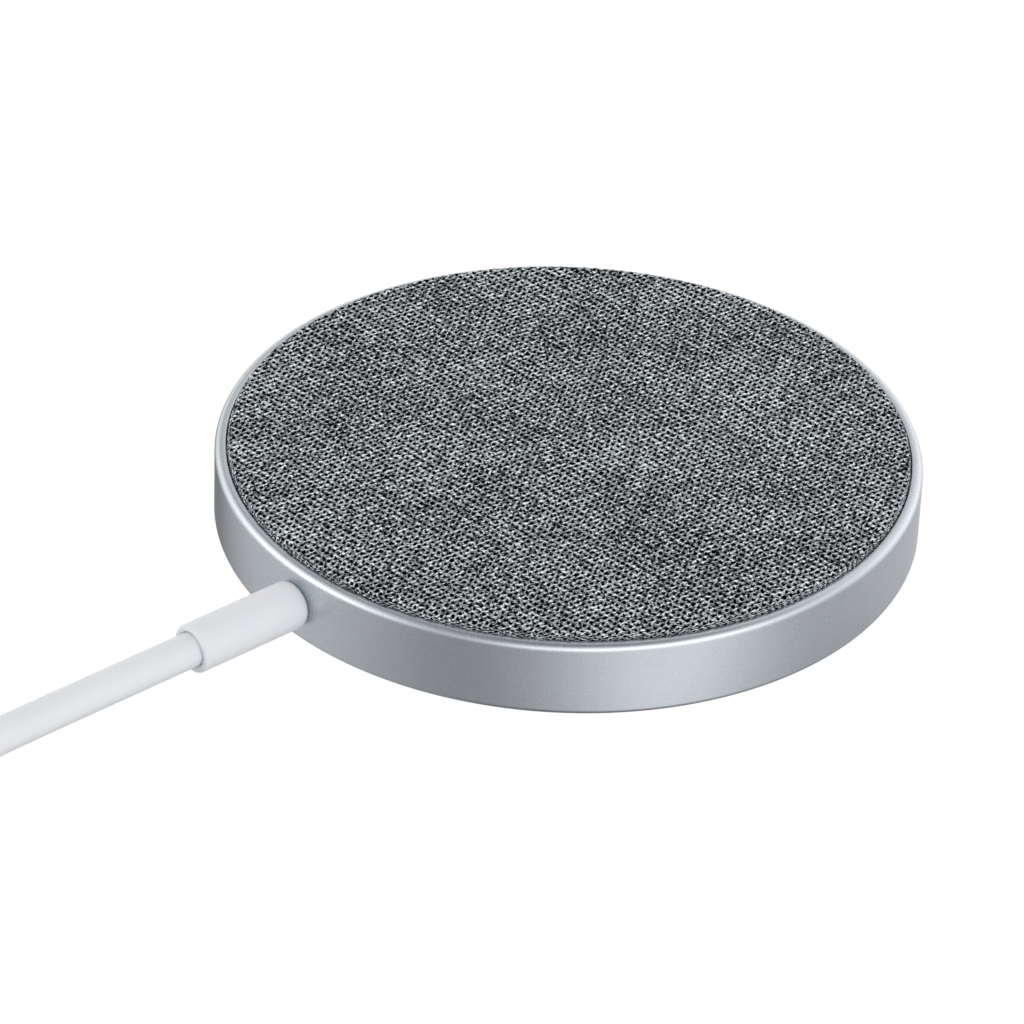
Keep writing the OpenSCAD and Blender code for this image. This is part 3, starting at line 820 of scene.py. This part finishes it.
def make_sleeve():
    low, high = box_mm("strain_relief")
    cup_r = box_mm("housing")[1].x
    z = LEAD_ROUTE[0][2]
    r = high.y
    reach, back = SLEEVE_PAST - low.x, -high.x
    bore = CORD_R + SLIP
    shoulder = [
        (r - SHOULDER_R * (1 - math.cos(t)), cup_r + SHOULDER_L * (1 - math.sin(t)))
        for t in np.linspace(math.pi / 2, 0, 12)
    ]
    profile = [
        (bore, back), (r, back), (r, back + FLANGE_T),
        (NECK_R, back + FLANGE_T), (NECK_R, cup_r - NECK_PAST), *shoulder,
        (r, (cup_r + reach) / 2),
        *arc((r - SLEEVE_ROUND, reach - SLEEVE_ROUND), SLEEVE_ROUND, 0, 85, 8),
        *[(mouth_r, reach - inset) for mouth_r, inset in SLEEVE_MOUTH],
        (bore, reach - SLEEVE_MOUTH[-1][1]),
    ]
    place = along((0, 0, z), (-1, 0, 0))
    solid = lathe(profile, SLEEVE_STEPS, place)
    sleeve = new_piece("CordSleeve", *solid, "cord_white", ["strain_relief"])
    sharpen(sleeve, SHARP_DEG)
    return sleeve


# ---- Tie ----

TIE_T = 0.6
TIE_W = 6
TIE_GAP = 0.1
# The loose end lies on top of the strap: where it starts, how much shorter and narrower it is than the
# span below it, and how far it is pressed in
TIE_END_T = 0.5
TIE_END_START = 3
TIE_END_SHORTER = 5
TIE_END_NARROWER = 0.3
TIE_END_SUNK = 0.06
TIE_END_STEPS = 12


def strap(line, width, thick, side, closed):
    """A strap with round edges along a line of (place, up) pairs, its width along side."""
    edge = thick / 2
    section = [
        (width / 2 - edge + edge * math.cos(a), edge * math.sin(a))
        for a in np.linspace(-math.pi / 2, math.pi / 2, 7)
    ]
    section += [(-x, y) for x, y in reversed(section)]
    points = [place + side * x + up * y for place, up in line for x, y in section]
    n, count = len(section), len(line)
    faces = []
    for i in range(count if closed else count - 1):
        for k in range(n):
            j, m = (i + 1) % count, (k + 1) % n
            faces.append([i * n + k, i * n + m, j * n + m, j * n + k])
    if not closed:
        faces += [list(range(n))[::-1], [(count - 1) * n + k for k in range(n)]]
    return points, faces


def make_tie():
    """A hook-and-loop strap round the coil's bundle, its end pressed down on top of itself."""
    a = math.radians(TIE_ANGLE)
    out = Vector((math.cos(a), math.sin(a), 0))
    side = Vector((-math.sin(a), math.cos(a), 0))
    centre = Vector((*WIND_CENTRE, 0))
    high = box_mm("cable_tie")[1]
    bundle_in = WIND_OUTER_R - (LOWER_TURNS - 1) * CORD_D - CORD_R
    inner = math.sqrt(bundle_in**2 - (TIE_W / 2) ** 2) - TIE_GAP - TIE_T
    outer = WIND_OUTER_R + CORD_R + TIE_GAP + TIE_T
    half, corner = TIE_T / 2, 1.5 * TIE_T
    low_z, high_z = half, high.z - half
    near, far = inner + half, outer - half
    line = []
    for cx, cz, start in (
        (far - corner, low_z + corner, -90), (far - corner, high_z - corner, 0),
        (near + corner, high_z - corner, 90), (near + corner, low_z + corner, 180),
    ):
        for i in range(CORNER_STEPS + 1):
            b = math.radians(start + 90 * i / CORNER_STEPS)
            up = out * math.cos(b) + Vector((0, 0, math.sin(b)))
            line.append((centre + out * cx + Vector((0, 0, cz)) + up * corner, up))
    points, faces = strap(line, TIE_W, TIE_T, side, True)
    end = []
    end_z = high.z + TIE_END_T / 2 - TIE_END_SUNK
    for i in range(TIE_END_STEPS + 1):
        x = near + TIE_END_START + i / TIE_END_STEPS * (far - near - TIE_END_SHORTER)
        end.append((centre + out * x + Vector((0, 0, end_z)), Vector((0, 0, 1))))
    more, more_faces = strap(end, TIE_W - TIE_END_NARROWER, TIE_END_T, side, False)
    faces += [[k + len(points) for k in f] for f in more_faces]
    tie = new_piece("CordTie", points + more, faces, "tie_strap", ["cable_tie"])
    sharpen(tie, TIE_SHARP_DEG)
    return tie


# ---- Plug ----

PLUG_TIP_NODES = ["plug_board", "plug_shell", "plug_insulator", "plug_contacts", "plug_latch"]
GRIP_ROUND = 2.4
GRIP_EDGE = 0.6
GRIP_EDGE_STEPS = 6
GRIP_SPANS = 8
PLUG_SLEEVE_STEPS = 64


def rounded_outline(w, t, r):
    """Points round a rectangle with round corners, anticlockwise."""
    out = []
    for k, (sx, sy) in enumerate([(1, 1), (-1, 1), (-1, -1), (1, -1)]):
        for i in range(CORNER_STEPS + 1):
            a = math.radians(90 * k + 90 * i / CORNER_STEPS)
            out.append((sx * (w / 2 - r) + r * math.cos(a), sy * (t / 2 - r) + r * math.sin(a)))
    return out


def make_grip():
    low, high = box_mm("plug_housing")
    w, t = high.x - low.x, high.z - low.z
    length = high.y - low.y
    # Sections along the grip: how far each is drawn in, and where it is
    end = []
    for i in range(GRIP_EDGE_STEPS + 1):
        a = math.radians(90 * i / GRIP_EDGE_STEPS)
        end.append((GRIP_EDGE * (1 - math.sin(a)), GRIP_EDGE * (1 - math.cos(a))))
    middle = [(0, length * k / GRIP_SPANS) for k in range(1, GRIP_SPANS)]
    stations = [*end, *middle, *[(inset, length - y) for inset, y in reversed(end)]]
    centre = (low + high) / 2
    points, faces = [], []
    for inset, y in stations:
        for x, z in rounded_outline(w - 2 * inset, t - 2 * inset, GRIP_ROUND - inset):
            points.append((centre.x + x, low.y + y, centre.z + z))
    n = len(points) // len(stations)
    for i in range(len(stations) - 1):
        for k in range(n):
            m = (k + 1) % n
            faces.append([i * n + k, (i + 1) * n + k, (i + 1) * n + m, i * n + m])
    faces += [list(range(n)), [(len(stations) - 1) * n + k for k in range(n)][::-1]]
    grip = new_piece("PlugGrip", points, faces, "grip_white", ["plug_housing"])
    sharpen(grip, SHARP_DEG)
    return grip


def make_plug_sleeve():
    low, high = box_mm("plug_sleeve")
    centre = (low + high) / 2
    r = (high.x - low.x) / 2
    length = high.y - low.y
    profile = [
        (0, SLEEVE_MOUTH[-1][1]), *reversed(SLEEVE_MOUTH),
        *arc((r - SLEEVE_ROUND, SLEEVE_ROUND), SLEEVE_ROUND, -85, 0, 8),
        (r, length / 2), (r, length), (0, length),
    ]
    place = along((centre.x, low.y, centre.z), (0, 1, 0))
    solid = lathe(profile, PLUG_SLEEVE_STEPS, place)
    sleeve = new_piece("PlugSleeve", *solid, "cord_white", ["plug_sleeve"])
    sharpen(sleeve, SHARP_DEG)
    return sleeve


# ---- Studio and lights ----

# The studio is a pale floor that curves up into a wall all round. Only the camera sees it, so that the
# object's metal and the cord's underside see the soft lights past it.
# These sizes are in metres.
COVE_FLAT = 2.0
COVE_R = 1.0
COVE_HIGH = 3.0
COVE_BEND_STEPS = 12
COVE_STEPS = 64
COVE_GLOW = 1.02
# The floor is this far under the object, in millimetres, so that the two don't flicker
FLOOR_GAP = 0.01

# Each soft patch of the surroundings: where it is, in degrees, how narrow it is, and how much lighter
# or darker than the rest
SOFT_LIGHTS = [
    (261, -33, 6.0, 0.95),
    (132, -58, 2.5, 0.62),
    (57, -4, 6.1, 1.18),
    (1, 14, 3.5, 1.48),
    (273, 26, 8.0, 1.65),
    (110, 25, 4.7, 1.07),
    (238, 44, 12.6, 0.64),
    (149, 20, 9.0, 1.6),
    (226, 22, 12.0, 1.1),
    (36, 41, 18.0, 0.98),
    (67, -24, 16.4, -1.01),
    (207, -74, 6.6, -0.52),
    (44, 37, 7.8, -0.99),
]
SURROUNDING = 0.102


def make_studio():
    profile = arc((COVE_FLAT, COVE_R), COVE_R, -90, 0, COVE_BEND_STEPS)
    profile.append((COVE_FLAT + COVE_R, COVE_HIGH))
    n = COVE_STEPS
    points, faces = [], [list(range(n))]
    for r, z in profile:
        for i in range(n):
            a = math.tau * i / n
            points.append((r * math.cos(a), r * math.sin(a), z))
    for k in range(len(profile) - 1):
        for i in range(n):
            j = (i + 1) % n
            faces.append((k * n + i, k * n + j, (k + 1) * n + j, (k + 1) * n + i))
    mesh = bpy.data.meshes.new("Studio")
    mesh.from_pydata(points, [], faces)
    mesh.polygons.foreach_set("use_smooth", [True] * len(mesh.polygons))
    studio = bpy.data.objects.new("Studio", mesh)
    studio.location.z = -FLOOR_GAP * MM
    s = Shading("studio")
    tone = s.noise(s.object_place(), 3.0, 2)
    s.set(
        Base_Color=s.mix_colour(tone, (0.24, 0.24, 0.24, 1), (0.26, 0.26, 0.26, 1)),
        Roughness=1.0,
        Specular_IOR_Level=0.0,
        Emission_Color=(1, 1, 1, 1),
        Emission_Strength=COVE_GLOW,
    )
    studio.data.materials.append(s.material)
    bpy.context.scene.collection.objects.link(studio)
    studio.visible_diffuse = False
    studio.visible_glossy = False
    studio.visible_shadow = False


def unit_vector(azimuth, elevation):
    """A direction from its angles in degrees."""
    a, e = math.radians(azimuth), math.radians(elevation)
    return (math.cos(a) * math.cos(e), math.sin(a) * math.cos(e), math.sin(e))


def make_light():
    world = bpy.data.worlds.new("Lights")
    world.use_nodes = True
    sky = NodeTree(world.node_tree)
    place = sky.node("ShaderNodeTexCoord").outputs["Generated"]
    total = SURROUNDING
    for azimuth, elevation, narrow, strength in SOFT_LIGHTS:
        near = sky.node("ShaderNodeVectorMath", operation="DOT_PRODUCT")
        sky.feed(near.inputs[0], place)
        near.inputs[1].default_value = unit_vector(azimuth, elevation)
        falloff = sky.math("MULTIPLY_ADD", near.outputs["Value"], narrow, -narrow)
        total = sky.math("MULTIPLY_ADD", sky.math("EXPONENT", falloff), strength, total)
    background = world.node_tree.nodes["Background"]
    sky.feed(background.inputs["Strength"], sky.math("MAXIMUM", total, 0.0))
    background.inputs["Color"].default_value = (1, 1, 1, 1)
    bpy.context.scene.world = world
    bpy.context.scene.view_settings.view_transform = "Standard"


# ---- Everything ----

make_camera()
cord = make_cord()
MATERIALS = make_materials()
cord.data.materials.append(MATERIALS["cord_white"])
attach(cord, "root")
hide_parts("cord_lead", "cord_coil", "cord_tail")

finish_cad_nodes()
make_cup()
make_foot()
make_fabric()
sleeve = make_sleeve()
tie = make_tie()
plug = [make_plug_sleeve(), make_grip()]
plug += [frame["nodes"][name] for name in PLUG_TIP_NODES]
make_studio()
make_light()
